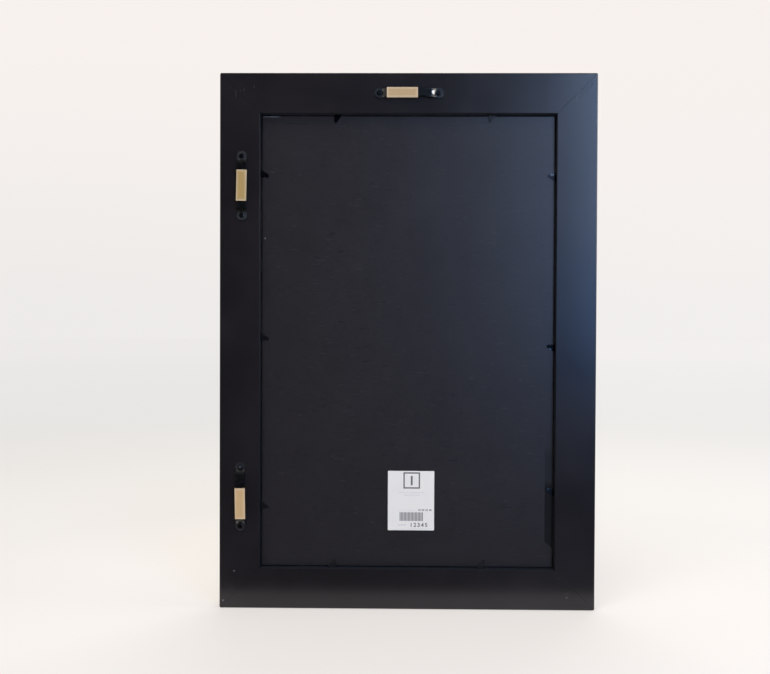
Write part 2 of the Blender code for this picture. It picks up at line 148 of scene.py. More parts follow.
def block(name, low, high):
    middle = [(a + b) / 2 for a, b in zip(low, high)]
    size = [b - a for a, b in zip(low, high)]
    return addShape(bpy.ops.mesh.primitive_cube_add, name, size, size=1, location=middle)


# A round rod that lies along Y
def rod(name, radius, length, middle, vertices):
    return addShape(bpy.ops.mesh.primitive_cylinder_add, name, turn=(math.pi / 2, 0, 0), vertices=vertices,
                    radius=radius, depth=length, location=middle)


def useModifier(piece, kind, **settings):
    takeUp(piece)
    modifier = piece.modifiers.new(kind.lower(), kind)
    for name, value in settings.items():
        setattr(modifier, name, value)
    bpy.ops.object.modifier_apply(modifier=modifier.name)


# Bevels every edge sharper than an angle
def softenSharp(piece, width, segments, degrees, **settings):
    useModifier(piece, 'BEVEL', width=width, segments=segments, limit_method='ANGLE',
                angle_limit=math.radians(degrees), **settings)


def joinAll(pieces):
    clearPicks()
    for piece in pieces:
        piece.select_set(True)
    bpy.context.view_layer.objects.active = pieces[0]
    if len(pieces) > 1:
        bpy.ops.object.join()
    return pieces[0]


# Cuts a list of closed shapes out of a piece, and throws them away
def cutOut(piece, cutters):
    if not cutters:
        return
    tool = joinAll(cutters)
    useModifier(piece, 'BOOLEAN', operation='DIFFERENCE', solver='EXACT', object=tool, use_self=True)
    throwAway(tool)


def closeUp(piece):
    editOn(piece)
    bpy.ops.mesh.select_all(action='SELECT')
    bpy.ops.mesh.remove_doubles(threshold=0.002 * mm)
    bpy.ops.mesh.normals_make_consistent(inside=False)
    editOff()


# Rounds read as round and flats stay flat
def finishShading(piece, degrees=35):
    takeUp(piece)
    bpy.ops.object.shade_smooth_by_angle(angle=math.radians(degrees))
    useModifier(piece, 'WEIGHTED_NORMAL', keep_sharp=True)


def copyTo(source, name, place):
    clearPicks()
    twin = source.copy()
    twin.data = source.data.copy()
    twin.name = name
    bpy.context.scene.collection.objects.link(twin)
    twin.data.transform(place)
    twin.data.update()
    return twin


def throwAway(piece):
    bpy.data.objects.remove(piece, do_unlink=True)


def dress(piece, material):
    piece.data.materials.clear()
    piece.data.materials.append(material)


# Gives a finished piece its body, its material and the CAD nodes that it stands for
def seat(piece, body, material, slot, *nodes):
    dress(piece, material)
    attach(piece, body)
    if nodes:
        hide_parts(*nodes)


# A Math node as an operator of Wire, with the two values turned round where the wire stands second
def mathsOf(operation, second=False):
    def operator(wire, other):
        return wire.maths(operation, other, wire) if second else wire.maths(operation, wire, other)
    return operator


# One socket of a material. Sums and products on it add Math nodes, and node() adds any other kind.
class Wire:
    def __init__(self, tree, socket=None):
        self.tree = tree
        self.socket = socket

    def node(self, kind, settings=None, sockets=None, output=0):
        made = self.tree.nodes.new(kind)
        for name, value in (settings or {}).items():
            if name == 'stops':
                setStops(made.color_ramp, value)
            else:
                setattr(made, name, value)
        for name, value in (sockets or {}).items():
            if isinstance(value, Wire):
                self.tree.links.new(value.socket, made.inputs[name])
            else:
                made.inputs[name].default_value = value
        return Wire(self.tree, made.outputs[output])

    def maths(self, operation, *values):
        return self.node('ShaderNodeMath', {'operation': operation}, dict(enumerate(values)))

    __add__ = mathsOf('ADD')
    __radd__ = mathsOf('ADD', second=True)
    __sub__ = mathsOf('SUBTRACT')
    __rsub__ = mathsOf('SUBTRACT', second=True)
    __mul__ = mathsOf('MULTIPLY')
    __rmul__ = mathsOf('MULTIPLY', second=True)
    __truediv__ = mathsOf('DIVIDE')
    __pow__ = mathsOf('POWER')
    __gt__ = mathsOf('GREATER_THAN')
    __lt__ = mathsOf('LESS_THAN')
    larger = mathsOf('MAXIMUM')

    def __abs__(self):
        return self.maths('ABSOLUTE', self)

    # 0 below start, 1 above end and smooth between them
    def rise(self, start, end):
        return self.node('ShaderNodeMapRange', {'interpolation_type': 'SMOOTHSTEP'},
                         {'Value': self, 'From Min': start, 'From Max': end})

    # This wire's colour where the mask is 0 and the other, a plain colour or a wire, where it is 1
    def toward(self, other, mask):
        other = other if isinstance(other, Wire) else (*other, 1.0)
        return self.node('ShaderNodeMix', {'data_type': 'RGBA'}, {0: mask, 6: self, 7: other}, 2)

    # The colour between two plain ones, by this mask
    def between(self, first, second):
        return self.node('ShaderNodeMix', {'data_type': 'RGBA'},
                         {0: self, 6: (*first, 1.0), 7: (*second, 1.0)}, 2)

    # A colour made lighter or darker by a number that varies
    def shaded(self, amount):
        grey = self.node('ShaderNodeCombineColor', {}, {0: amount, 1: amount, 2: amount})
        return self.node('ShaderNodeMix', {'data_type': 'RGBA', 'blend_type': 'MULTIPLY'},
                         {0: 1.0, 6: self, 7: grey}, 2)

    def bump(self, distance, strength):
        return self.node('ShaderNodeBump', {}, {'Strength': strength, 'Distance': distance, 'Height': self})

    # Noise on this vector, with one scale or one for each axis
    def noise(self, scale, detail, roughness, offset=(0, 0, 0)):
        scale = scale if isinstance(scale, (list, tuple)) else (scale, scale, scale)
        placed = self.node('ShaderNodeMapping', {'vector_type': 'POINT'},
                           {'Vector': self, 'Location': offset, 'Scale': scale})
        return self.node('ShaderNodeTexNoise', {},
                         {'Vector': placed, 'Scale': 1.0, 'Detail': detail, 'Roughness': roughness})

    # Distance from the nearest of many scattered dots, or with output 1 that dot's own colour
    def dots(self, scale, output=0):
        return self.node('ShaderNodeTexVoronoi', {'feature': 'F1'}, {'Vector': self, 'Scale': scale}, output)

    def axes(self):
        parts = self.node('ShaderNodeSeparateXYZ', {}, {'Vector': self})
        return [Wire(self.tree, output) for output in parts.socket.node.outputs]


def setStops(ramp, stops):
    while len(ramp.elements) > 1:
        ramp.elements.remove(ramp.elements[-1])
    ramp.elements[0].position, ramp.elements[0].color = stops[0]
    for position, colour in stops[1:]:
        ramp.elements.new(position).color = colour


# A new material, its Object coordinates and its shader
def newMaterial(name):
    material = bpy.data.materials.new(name)
    material.use_nodes = True
    tree = material.node_tree
    place = Wire(tree).node('ShaderNodeTexCoord', output='Object')
    return material, place, tree.nodes['Principled BSDF']


def setSockets(shader, **values):
    names = {'color': 'Base Color', 'roughness': 'Roughness', 'metallic': 'Metallic', 'normal': 'Normal',
             'specular': 'Specular IOR Level', 'transmission': 'Transmission Weight', 'ior': 'IOR'}
    for key, value in values.items():
        socket = shader.inputs[names[key]]
        if isinstance(value, Wire):
            value.tree.links.new(value.socket, socket)
        else:
            socket.default_value = value


def scaled(colour, amount):
    return tuple(min(1.0, amount * part) for part in colour)


# A round spot seen from the back, 1 in its core. Its place and radius are in mm.
def spotMask(x, z, across, height, radius, core=0.55):
    far = ((x - across * mm) ** 2 + (z - height * mm) ** 2) ** 0.5
    return 1 - far.rise(core * radius * mm, radius * mm)


# The largest of several masks
def anyOf(masks):
    return reduce(Wire.larger, masks)


# Lays another shader over a material's own where the mask is 1
def coverShader(shader, other, mask):
    tree = mask.tree
    both = mask.node('ShaderNodeMixShader', {}, {0: mask, 1: Wire(tree, shader.outputs[0]), 2: other})
    tree.links.new(both.socket, tree.nodes['Material Output'].inputs['Surface'])


# Turns a material dull in one colour where the mask is 1
def dullWhere(shader, colour, specular, mask):
    dull = mask.node('ShaderNodeBsdfPrincipled', {}, {'Base Color': colour, 'Roughness': 0.9,
                                                      'Specular IOR Level': specular})
    coverShader(shader, dull, mask)


print("Stage, camera and lights")

view = {
    'focal': 1002.0,                     # in the picture's pixels
    'pictureWidth': 770.0,
    'sensor': 36.0,
    'place': (-0.0076, -0.9621, 0.2760),
    'forward': (-0.0145, 0.9998, -0.01635),
    'up': (-0.0042, 0.0166, 0.9998),
    'clip': (0.01, 60.0),
}

studio = {
    'worldFill': (0.50, 0.47, 0.43),
    'skyLow': (0.850, 0.830, 0.815),
    'skyHigh': (0.936, 0.882, 0.855),
    'skyRight': 0.04,                    # the backdrop is this much lighter low on the right, painted light from the window's side
    'skyOverhead': 0.8,                  # and this much darker straight above
    'floorLevel': -0.2 * mm,
    'floorReach': 14.0,
    'floorRamp': 8.0,
    'floorStops': [                      # the plain floor's colour by distance from the frame, 0 to 8 m, painted darker near the frame as painted shade
        (0.018, (0.820, 0.762, 0.709, 1.0)),
        (0.04, (0.832, 0.782, 0.738, 1.0)),
        (0.07, (0.755, 0.724, 0.699, 1.0)),
        (0.14, (0.765, 0.755, 0.740, 1.0)),
        (0.24, (0.805, 0.793, 0.778, 1.0)),
        (0.90, (0.840, 0.820, 0.805, 1.0)),
    ],
    'floorRight': 0.06,                  # the far floor is this much lighter on the right, painted light from the window's side
    'floorPaint': (0.80, 0.79, 0.78),
    'floorPlain': 0.55,                  # share of that plain colour near the frame
    'clothFront': -0.065,                # the dark cloth starts here and hangs behind the camera
    'clothBack': -2.6,
    'clothLevel': 1 * mm,
    'clothHeight': 3.4,
    'clothHalfWidth': 3.4,
    'clothBend': 0.5,
    'clothPaint': (0.03, 0.03, 0.033),
    'lampTarget': (0, 0, 0.26),          # every lamp looks here, near the frame's middle
}

# Each lamp's place, size, power and colour. The window is tall and cool and stands behind the camera on the
# right, the pane is its lower part in a deeper blue, and the side lamp picks out the hangers' steps.
lamps = {
    'window': ((1.03, -2.15, 1.02), (0.85, 1.20), 29.0, (0.435, 0.635, 1.03)),
    'pane': ((1.03, -2.15, 0.29), (0.85, 0.26), 4.5, (0.14, 0.45, 1.15)),
    'top': ((-0.45, -1.20, 2.55), (1.2, 1.2), 40.0, (1.0, 0.95, 0.87)),
    'rear': ((0.25, 1.70, 2.30), (2.0, 1.2), 34.0, (1.0, 0.97, 0.93)),
    'side': ((2.2, -0.12, 0.95), (0.8, 0.8), 22.0, (1.0, 0.99, 0.97)),
}


def makeCamera():
    data = bpy.data.cameras.new("camera")
    data.lens = view['focal'] * view['sensor'] / view['pictureWidth']
    data.sensor_width = view['sensor']
    data.clip_start, data.clip_end = view['clip']
    camera = bpy.data.objects.new("camera", data)
    bpy.context.scene.collection.objects.link(camera)
    back = -Vector(view['forward']).normalized()
    right = Vector(view['up']).cross(back).normalized()
    up = back.cross(right)
    camera.matrix_world = Matrix.Translation(view['place']) @ Matrix((right, up, back)).transposed().to_4x4()
    bpy.context.scene.camera = camera


def areaLight(name, place, size, power, colour):
    data = bpy.data.lights.new(name, 'AREA')
    data.shape = 'RECTANGLE'
    data.size, data.size_y = size
    data.energy = power
    data.color = colour
    lamp = bpy.data.objects.new(name, data)
    bpy.context.scene.collection.objects.link(lamp)
    lamp.location = place
    towards = Vector(studio['lampTarget']) - lamp.location
    lamp.rotation_euler = towards.to_track_quat('-Z', 'Y').to_euler()
    lamp.visible_camera = False
    return lamp


# The rays that see the pale backdrop: straight, mirrored and through glass
def plainRays(start):
    outputs = start.node('ShaderNodeLightPath').socket.node.outputs
    kinds = ('Is Camera Ray', 'Is Glossy Ray', 'Is Transmission Ray')
    return anyOf([Wire(start.tree, outputs[kind]) for kind in kinds])


def makeWorld():
    world = bpy.data.worlds.new("studio")
    bpy.context.scene.world = world
    world.use_nodes = True
    tree = world.node_tree
    tree.nodes.clear()
    start = Wire(tree)
    direction = start.node('ShaderNodeTexCoord', output='Generated')
    side, ahead, height = direction.axes()
    pale = height.rise(0.0, 0.26).between(studio['skyLow'], studio['skyHigh'])
    # painted light: the backdrop is lighter low on the right
    lowRight = 1.0 + studio['skyRight'] * side.rise(-0.35, 0.35) * (1 - height.rise(0.05, 0.25))
    pale = pale.shaded(lowRight * (1.0 - studio['skyOverhead'] * height.rise(0.5, 0.9)))
    seen = start.node('ShaderNodeBackground', {}, {'Color': pale, 'Strength': 1.0})
    fill = start.node('ShaderNodeBackground', {}, {'Color': (*studio['worldFill'], 1.0), 'Strength': 1.0})
    both = start.node('ShaderNodeMixShader', {}, {0: plainRays(start), 1: fill, 2: seen})
    output = tree.nodes.new('ShaderNodeOutputWorld')
    tree.links.new(both.socket, output.inputs['Surface'])


def makeFloor():
    floor = addShape(bpy.ops.mesh.primitive_circle_add, "floor", vertices=64, radius=studio['floorReach'],
                     fill_type='NGON', location=(0, 0, studio['floorLevel']))
    material, place, shader = newMaterial("paleFloor")
    x, y, z = place.axes()
    far = (x ** 2 + y ** 2) ** 0.5
    # the floor's plain colour carries painted shade close round the frame
    colour = far.node('ShaderNodeValToRGB', {'stops': studio['floorStops']}, {0: far / studio['floorRamp']})
    # painted light: the far floor is lighter on the right
    onRight = (x / (abs(y) + 1.0)).rise(-0.2, 0.25) * far.rise(0.2, 1.0)
    colour = colour.shaded(1.0 + studio['floorRight'] * onRight)
    setSockets(shader, color=(*studio['floorPaint'], 1.0), roughness=0.9, specular=0.0)
    glow = colour.node('ShaderNodeEmission', {}, {'Color': colour, 'Strength': 1.0})
    share = plainRays(place) * (studio['floorPlain'] + (1 - studio['floorPlain']) * far.rise(0.6, 2.5))
    coverShader(shader, glow, share)
    dress(floor, material)


# A dark cloth on the floor and behind the camera, which only the frame's sheen sees
def makeCloth():
    level = studio['clothLevel']
    reach = studio['clothFront'] - studio['clothBack']
    size = (2 * studio['clothHalfWidth'], reach, 1)
    cloth = addShape(bpy.ops.mesh.primitive_plane_add, "dark_cloth", size, size=1,
                     location=(0, studio['clothBack'] + reach / 2, level))
    editOn(cloth)
    pick(cloth, 'EDGE', lambda e: edgeAt(e, y=studio['clothBack']))
    extrude((0, 0, studio['clothHeight']))
    pick(cloth, 'EDGE', lambda e: edgeAt(e, y=studio['clothBack'], z=level))
    roundPicked(studio['clothBend'], 8)
    editOff()
    material, place, shader = newMaterial("darkCloth")
    setSockets(shader, color=(*studio['clothPaint'], 1.0), roughness=1.0, specular=0.0)
    dress(cloth, material)
    for ray in ('camera', 'diffuse', 'shadow', 'transmission'):
        setattr(cloth, "visible_" + ray, False)


bpy.context.scene.view_settings.view_transform = 'Standard'
makeCamera()
makeWorld()
makeFloor()
makeCloth()
for name, values in lamps.items():
    areaLight(name, *values).visible_glossy = name != 'top'


# A rail is modelled along X with its back in the plane y = 0 and its outside at z = 0, and then turned

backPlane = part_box("rail_bottom")[0].y
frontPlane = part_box("rail_bottom")[1].y
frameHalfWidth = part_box("rail_right")[1].x
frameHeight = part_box("rail_top")[1].z
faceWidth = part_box("rail_bottom")[1].z
backingLow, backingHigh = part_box("backing_board")

# Each side's quarter turns from the bottom one, half its length and how far it lies from the middle
halves = (frameHalfWidth, frameHeight / 2)
sides = {
    side: {'turns': turns, 'halfLength': halves[turns % 2], 'reach': halves[1 - turns % 2]}
    for turns, side in enumerate(('bottom', 'left', 'top', 'right'))
}


def sideTurn(side):
    return Matrix.Rotation(sides[side]['turns'] * math.pi / 2, 4, 'Y')


def sidePlace(side):
    middle = Matrix.Translation((0, backPlane, frameHeight / 2))
    return middle @ sideTurn(side) @ Matrix.Translation((0, 0, -sides[side]['reach']))


print("Moulding")

moulding = {
    'lipWidth': 6.35 * mm,
    'lipThickness': 5.2 * mm,
    'backRadius': 1.2 * mm,
    'frontRadius': 1.8 * mm,
    'rabbetRadius': 0.15 * mm,
    'lipRadius': 0.4 * mm,
    'sightRun': 2.2 * mm,
    'sightDrop': 1.4 * mm,
    'sightRadius': 0.6 * mm,
    'mitreGap': 0.05 * mm,
    'mitreSoft': 0.14 * mm,
    'cornerRadius': 2.2 * mm,            # the frame's sharp corners are sanded round
    'cornerSteps': (11, 22.5, 34, 45),
    'slotPlay': 0.06 * mm,
    'black': (0.0082, 0.0066, 0.0073),
    'rubbed': (0.020, 0.020, 0.022),
    'dust': (0.16, 0.16, 0.17),
    'bare': (0.13, 0.125, 0.12),
    'raw': (0.0130, 0.0143, 0.0195),
    'rawDeepLit': (0.035, 0.038, 0.050),
    'rawLeftLit': (0.015, 0.0145, 0.0155),
    'rawLeftDeepLit': (0.066, 0.062, 0.064),
    'leftLitAbout': 338 * mm,               # the left wall is painted lighter round this height, painted light
    'filled': (0.029, 0.027, 0.024),
    'roughness': 0.237,
    'dotScale': 95.0,                    # specks of dust: how close together, and the share of dots left out
    'dotsLeftOut': 0.72,
    'arrisWidth': 1.3 * mm,              # the rubbed arris round the outside of the back
    'arrisFade': 1.1 * mm,
    'arrisDepth': (0.2 * mm, 1.4 * mm),
    'wallFade': (0.12 * mm, 0.30 * mm),  # where the thin paint of the rabbet's walls begins and ends
    'wallOver': 0.2 * mm,
    'deepLitFade': (-0.3 * mm, 0.5 * mm),   # the walls are painted lighter still beside the board, painted light
    'leftLitFade': (70 * mm, 170 * mm),
    'backFade': (0.4 * mm, 0.9 * mm),    # how deep the back's knocks and marks reach round its edges
    'smudge': 0.11,                      # how much duller the rubbed upper right mitre is
    'smudgeStart': (6 * mm, 16 * mm),    # it fades in and out over these, from the corner
    'smudgeEnd': (42 * mm, 56 * mm),
    'smudgeBeside': 4.5 * mm,
    'smudgeHalf': (1.0 * mm, 4.5 * mm),
    'pilotRadius': 1.2 * mm,             # the screws' pilot holes
    'pilotDeeper': 0.2 * mm,
    'cutOver': 0.1 * mm,
}
openingHalf = (frameHalfWidth - faceWidth + moulding['lipWidth'],
               frameHeight / 2 - faceWidth + moulding['lipWidth'])

# Small knocks on the back face: across, height, radius, depth, all in mm
knocks = [
    (-165.2, 35.7, 0.85, 0.30),
    (153.0, 12.4, 0.80, 0.30),
    (-175.7, 7.3, 1.10, 0.25),
]

# Marks of the driven corner nails, filled and painted over: across, height, half width, half height, in mm
nailMarks = [
    (-164.4, 491.0, 0.45, 4.2),
    (-160.1, 494.8, 0.50, 0.9),
    (-156.3, 494.9, 0.55, 1.1),
    (-146.8, 497.9, 0.60, 1.3),
    (145.3, 30.6, 1.6, 0.35),
    (-139.9, 414.1, 0.45, 1.8),
    (151.5, 16.0, 0.45, 1.3),
    (154.1, 16.0, 0.45, 1.3),
]


# Where the arris round the outside of the back is rubbed
def arrisMask(x, y, z, patches):
    pastX = abs(x) - (frameHalfWidth - moulding['arrisWidth'])
    pastZ = abs(z - frameHeight / 2) - (frameHeight / 2 - moulding['arrisWidth'])
    nearBack = 1 - (y - backPlane).rise(*moulding['arrisDepth'])
    return pastX.larger(pastZ).rise(0.0, moulding['arrisFade']) * nearBack * patches.rise(0.5, 0.72)


# The walls of the rabbet, where the paint is thin, and that paint's colour with painted light in it
def rabbetPaintAndLight(x, y, z, patches):
    pastX = abs(x) - openingHalf[0]
    pastZ = abs(z - frameHeight / 2) - openingHalf[1]
    over = moulding['wallOver']
    lipBack = frontPlane - moulding['lipThickness'] + over
    wall = (1 - pastX.rise(*moulding['wallFade'])) * (1 - pastZ.rise(*moulding['wallFade']))
    wall = wall * (y - backPlane).rise(0.0, moulding['wallFade'][0]) * (lipBack > y)
    # painted light: the walls are lighter deep down beside the board
    deep = (y - backingLow.y).rise(*moulding['deepLitFade'])
    # painted light: the left wall is lighter round one height
    left = (over - openingHalf[0] > x) * (1 - abs(z - moulding['leftLitAbout']).rise(*moulding['leftLitFade']))
    # painted light: the top wall is painted lighter
    top = z - frameHeight / 2 > openingHalf[1] - over
    thin = deep.between(moulding['raw'], moulding['rawDeepLit'])
    thin = thin.toward(deep.between(moulding['rawLeftLit'], moulding['rawLeftDeepLit']), left)
    return wall, thin.shaded((0.75 + 0.5 * patches) * (1 + 0.4 * top))


def nailMask(x, z):
    marks = []
    for across, height, halfWide, halfHigh in nailMarks:
        wide = (x - across * mm) / (halfWide * mm)
        high = (z - height * mm) / (halfHigh * mm)
        marks.append(1 - (wide ** 2 + high ** 2).rise(0.35, 1.3))
    return anyOf(marks)


# The rubbed smudge along the outer half of the upper right mitre
def smudgeMask(x, z, patches):
    fromSide = frameHalfWidth - x
    fromTop = frameHeight - z
    out = fromSide + fromTop
    along = out.rise(*moulding['smudgeStart']) * (1 - out.rise(*moulding['smudgeEnd']))
    beside = abs(fromTop - fromSide - moulding['smudgeBeside']).rise(*moulding['smudgeHalf'])
    return along * (1 - beside) * patches.rise(0.30, 0.70)


# Satin black lacquer. Its faint rub lines run along the rail.
def makeLacquer(name, alongAxis):
    material, place, shader = newMaterial(name)
    lineScale = [210.0] * 3
    lineScale[alongAxis] = 3.0
    lines = place.noise(lineScale, 3.0, 0.6)
    cloud = place.noise(14, 3.0, 0.55)
    peel = place.noise(1500, 1.0, 0.4)
    patches = place.noise(70, 4.0, 0.6, offset=(3.1, 0, 1.7))
    x, y, z = place.axes()
    colour = cloud.rise(0.35, 0.7).between(moulding['black'], scaled(moulding['black'], 1.5))
    colour = colour.toward(moulding['rubbed'], arrisMask(x, y, z, patches) * 0.8)
    chance = place.node('ShaderNodeSeparateColor', {}, {'Color': place.dots(moulding['dotScale'], 1)})
    dust = (1 - place.dots(moulding['dotScale']).rise(0.010, 0.022)) * (chance > moulding['dotsLeftOut'])
    colour = colour.toward(moulding['dust'], dust * 0.6)
    onBack = 1 - (y - backPlane).rise(*moulding['backFade'])
    marks = nailMask(x, z) * onBack
    colour = colour.toward(moulding['filled'], marks * (0.35 + 0.65 * patches))
    chips = anyOf([spotMask(x, z, *knock[:3]) for knock in knocks]) * onBack
    colour = colour.toward(moulding['bare'], chips * 0.75)
    roughness = (moulding['roughness'] + moulding['smudge'] * smudgeMask(x, z, patches)
                 + 0.03 * (lines - 0.5) + 0.05 * (cloud - 0.5)
                 + 0.02 * (patches - 0.5) + 0.25 * (chips + dust * 0.5) + 0.06 * marks)
    height = 0.25 * peel + 0.35 * lines + 1.5 * patches * marks
    setSockets(shader, color=colour, roughness=roughness, specular=0.5,
               normal=height.bump(0.012 * mm, 0.55))
    # the rabbet's walls in thin paint, with painted light
    wall, thin = rabbetPaintAndLight(x, y, z, patches)
    dullWhere(shader, thin, 0.08, wall)
    return material


def modelRail(side):
    values = sides[side]
    half = values['halfLength']
    depth = frontPlane - backPlane
    backWidth = faceWidth - moulding['lipWidth']
    rabbet = depth - moulding['lipThickness']
    sightBack = faceWidth - moulding['sightRun']
    rail = block("moulding_" + side, (-half, 0, 0), (half, depth, backWidth))
    editOn(rail)
    bisect((0, rabbet, 0), (0, 1, 0))
    pick(rail, 'FACE', lambda f: f.normal.z > 0.9 and f.calc_center_median().y > rabbet)
    extrude((0, 0, moulding['lipWidth']))
    bisect((0, 0, sightBack), (0, 0, 1))
    pick(rail, 'EDGE', lambda e: edgeAt(e, y=depth, z=faceWidth))
    shift((0, -moulding['sightDrop'], 0))
    for y, z, radius, segments in (
        (0, 0, moulding['backRadius'], 7),
        (0, backWidth, moulding['rabbetRadius'], 4),
        (rabbet, faceWidth, moulding['lipRadius'], 4),
        (depth - moulding['sightDrop'], faceWidth, moulding['sightRadius'], 4),
        (depth, sightBack, moulding['sightRadius'], 4),
        (depth, 0, moulding['frontRadius'], 8),
    ):
        pick(rail, 'EDGE', lambda e: edgeAt(e, y=y, z=z) and spread(0, e) > half)
        roundPicked(radius, segments)
    recess = moulding['mitreGap'] / math.sqrt(2)
    for end in (-1, 1):
        bisect((end * (half - recess), 0, 0), (end, 0, 1), clear=True)
    radius = moulding['cornerRadius']
    for end in (-1, 1):
        for degrees in moulding['cornerSteps']:
            sine = math.sin(math.radians(degrees))
            cosine = math.cos(math.radians(degrees))
            spot = (end * (half - radius + radius * sine), 0, radius * (1 - cosine))
            bisect(spot, (end * sine, 0, -cosine), clear=True)
    pick(rail, 'EDGE', lambda e: len(e.link_faces) == 2 and e.calc_face_angle(0) > math.radians(40))
    roundPicked(moulding['mitreSoft'], 2)
    editOff()
    rail.data.transform(sidePlace(side))
    return rail


# Slots for the points, pilot holes for the screws and the small knocks
def railCutters(side):
    cutters = []
    play = Vector((moulding['slotPlay'],) * 3)
    railLow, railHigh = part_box("rail_" + side)

    def onRail(x, z):
        return railLow.x < x < railHigh.x and railLow.z < z < railHigh.z

    for name in frame['nodes']:
        low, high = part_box(name)
        middle = (low + high) / 2
        if name.startswith("point_root_" + side):
            cutters.append(block("slot", low - play, high + play))
        if name.startswith("hanger_screw_") and onRail(middle.x, middle.z):
            start = backPlane - moulding['cutOver']
            end = high.y + moulding['pilotDeeper']
            middle.y = (start + end) / 2
            cutters.append(rod("pilot", moulding['pilotRadius'], end - start, middle, 24))
    for across, height, radius, depth in knocks:
        if onRail(across * mm, height * mm):
            place = (across * mm, backPlane - (radius - depth) * mm, height * mm)
            cutters.append(addShape(bpy.ops.mesh.primitive_ico_sphere_add, "knock", subdivisions=3,
                                    radius=radius * mm, location=place))
    return cutters


lacquers = {'level': makeLacquer("satinLacquerLevel", 0), 'upright': makeLacquer("satinLacquerUpright", 2)}
for side in sides:
    rail = modelRail(side)
    cutOut(rail, railCutters(side))
    finishShading(rail)
    kind = 'level' if side in ('bottom', 'top') else 'upright'
    seat(rail, "frame", lacquers[kind], "satin_black_wood", "rail_" + side)


print("Sheets in the rabbet")

sheetColours = {
    'glass': ((0.97, 0.99, 0.985), (0.93, 0.97, 0.96)),
    'glassIor': 1.49,
    'paper': ((0.70, 0.69, 0.66), (0.78, 0.775, 0.75)),
    'board': ((0.25, 0.21, 0.16), (0.40, 0.35, 0.28)),
    'boardFleck': (0.12, 0.10, 0.08),
}

backing = {
    'charcoal': (0.0162, 0.0132, 0.0135),
    'fibre': (0.033, 0.032, 0.033),
    # shared by the dark fibre marks and the painted shadow beside the right wall
    'shadow': (0.0060, 0.0060, 0.0068),
    'worn': (0.10, 0.10, 0.11),
    'wornFrom': -139.5 * mm,             # the worn stretch of the upper edge
    'wornTo': -121.0 * mm,
    'wornEdge': 1.6 * mm,
    'wornFade': 0.7 * mm,
    'wornStart': 1.5 * mm,
    'wornEnd': 6 * mm,
    'roughness': 0.320,
    'specular': 0.46,
    'strip': 132.1 * mm,                 # the painted shadow's inner edge, beside the right wall
    'stripFoot': (133.0 * mm, 63.5 * mm),
    'stripSlant': 0.9,
    'stripSoft': 0.5 * mm,
    'stripSlantSoft': 0.8 * mm,
    'stripFades': ((117 * mm, 123 * mm, 0.6), (146 * mm, 158 * mm, 0.4)),
    'fleck': (-137.0, 354.4, 0.7),       # one pale fleck: across, height and radius in mm
    'fleckColour': (0.20, 0.20, 0.20),
}


def makeGlass():
    material, place, shader = newMaterial("clearGlazing")
    smudge = place.noise(9, 4.0, 0.6)
    wiped = place.noise((60, 400, 12), 3.0, 0.6)
    tint = smudge.between(*sheetColours['glass'])
    roughness = 0.015 + 0.05 * smudge.rise(0.55, 0.85) * wiped
    setSockets(shader, color=tint, roughness=roughness, transmission=1.0, ior=sheetColours['glassIor'])
    return material


def makeInsertPaper():
    material, place, shader = newMaterial("plainPaper")
    tooth = place.noise(1100, 3.0, 0.6)
    cloud = place.noise(18, 3.0, 0.5)
    colour = (0.6 * cloud + 0.4 * tooth).between(*sheetColours['paper'])
    setSockets(shader, color=colour, roughness=0.78 + 0.1 * (tooth - 0.5), specular=0.35,
               normal=tooth.bump(0.02 * mm, 0.4))
    return material


def makeGreyBoard():
    material, place, shader = newMaterial("greyBoard")
    chips = place.noise(420, 4.0, 0.65)
    colour = chips.rise(0.3, 0.7).between(*sheetColours['board'])
    colour = colour.toward(sheetColours['boardFleck'], (1 - place.dots(700.0).rise(0.05, 0.16)) * 0.7)
    setSockets(shader, color=colour, roughness=0.86, specular=0.3, normal=chips.bump(0.06 * mm, 0.5))
    return material


# The right wall's shadow painted on the board at the lower right
def stripMask(x, z):
    footX, footZ = backing['stripFoot']
    side = (x - backing['strip']).rise(0.0, backing['stripSoft'])
    foot = (z - footZ + backing['stripSlant'] * (x - footX)).rise(0.0, backing['stripSlantSoft'])
    faded = sum(share * z.rise(low, high) for low, high, share in backing['stripFades'])
    return side * foot * (1 - faded)


# Where the board's upper edge is worn
def wornMask(place, x, z):
    edge = (z - (backingHigh.z - backing['wornEdge'])).rise(0.0, backing['wornFade'])
    start = (x - backing['wornFrom']).rise(0.0, backing['wornStart'])
    end = (x - backing['wornTo']).rise(-backing['wornEnd'], 0.0)
    return edge * start * (1 - end) * (0.45 + 0.55 * place.noise(400, 2.0, 0.5).rise(0.3, 0.6))


